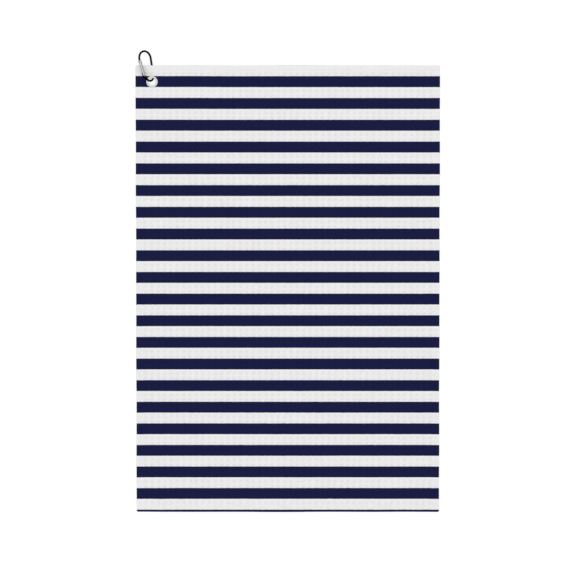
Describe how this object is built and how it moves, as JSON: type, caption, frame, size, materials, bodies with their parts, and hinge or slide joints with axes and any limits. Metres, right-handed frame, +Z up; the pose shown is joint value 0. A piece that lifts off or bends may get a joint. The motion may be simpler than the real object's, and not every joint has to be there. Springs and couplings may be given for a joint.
{
  "type": "golf towel",
  "caption": "Striped rectangular golf towel with stitched hems, a metal corner eyelet and a spring-gate carabiner that clips it to a golf bag.",
  "frame": {"origin": "middle of the cloth, on the surface that the towel lies on", "axes": "+X right along the short edges, +Y along the long edges towards the corner with the eyelet, +Z up out of the printed face; the eyelet is in the -X +Y corner"},
  "size_m": [0.4064, 0.6184, 0.016],
  "materials": {
    "cloth": "waffle-weave microfibre, white with printed navy stripes",
    "thread": "white polyester sewing thread",
    "nickel": "polished nickel plate",
    "black_rod": "satin black",
    "silver_gate": "bright satin",
    "steel": "plain bright"
  },
  "bodies": {
    "towel": {"towel_panel": "cloth", "hem_top": "cloth", "hem_bottom": "cloth", "hem_left": "cloth", "hem_right": "cloth", "needle_thread_top": "thread", "needle_thread_bottom": "thread", "needle_thread_left": "thread", "needle_thread_right": "thread", "bobbin_thread_top": "thread", "bobbin_thread_bottom": "thread", "bobbin_thread_left": "thread", "bobbin_thread_right": "thread", "eyelet_barrel": "nickel", "eyelet_washer": "nickel"},
    "carabiner": {"carabiner_body": "black_rod"},
    "gate": {"carabiner_gate": "silver_gate", "gate_hinge_pin": "steel", "gate_latch_pin": "steel", "gate_spring": "steel"},
    "plunger": {"spring_plunger": "steel"}
  },
  "joints": [
    {"name": "carabiner_swing", "type": "hinge", "parent": "towel", "child": "carabiner", "pos_m": [-0.1811, 0.2773, 0.0048], "axis": [0, 0, 1], "range_deg": [-50, 125]},
    {"name": "gate_opening", "type": "hinge", "parent": "carabiner", "child": "gate", "pos_m": [-0.19178, 0.28669, 0.01202], "axis": [-0.6563, -0.1008, -0.7478], "range_deg": [0, 22], "stiffness_Nm_per_rad": 0.02, "springref_deg": -17.19},
    {"name": "plunger_travel", "type": "slide", "parent": "gate", "child": "plunger", "axis": [-0.2638, 0.9592, 0.1022], "range_m": [0, 0.0005], "deforming": ["gate_spring"]}
  ],
  "couplings": [
    {"joint": "plunger_travel", "follows": "gate_opening", "m_per_rad": 0.00115}
  ]
}
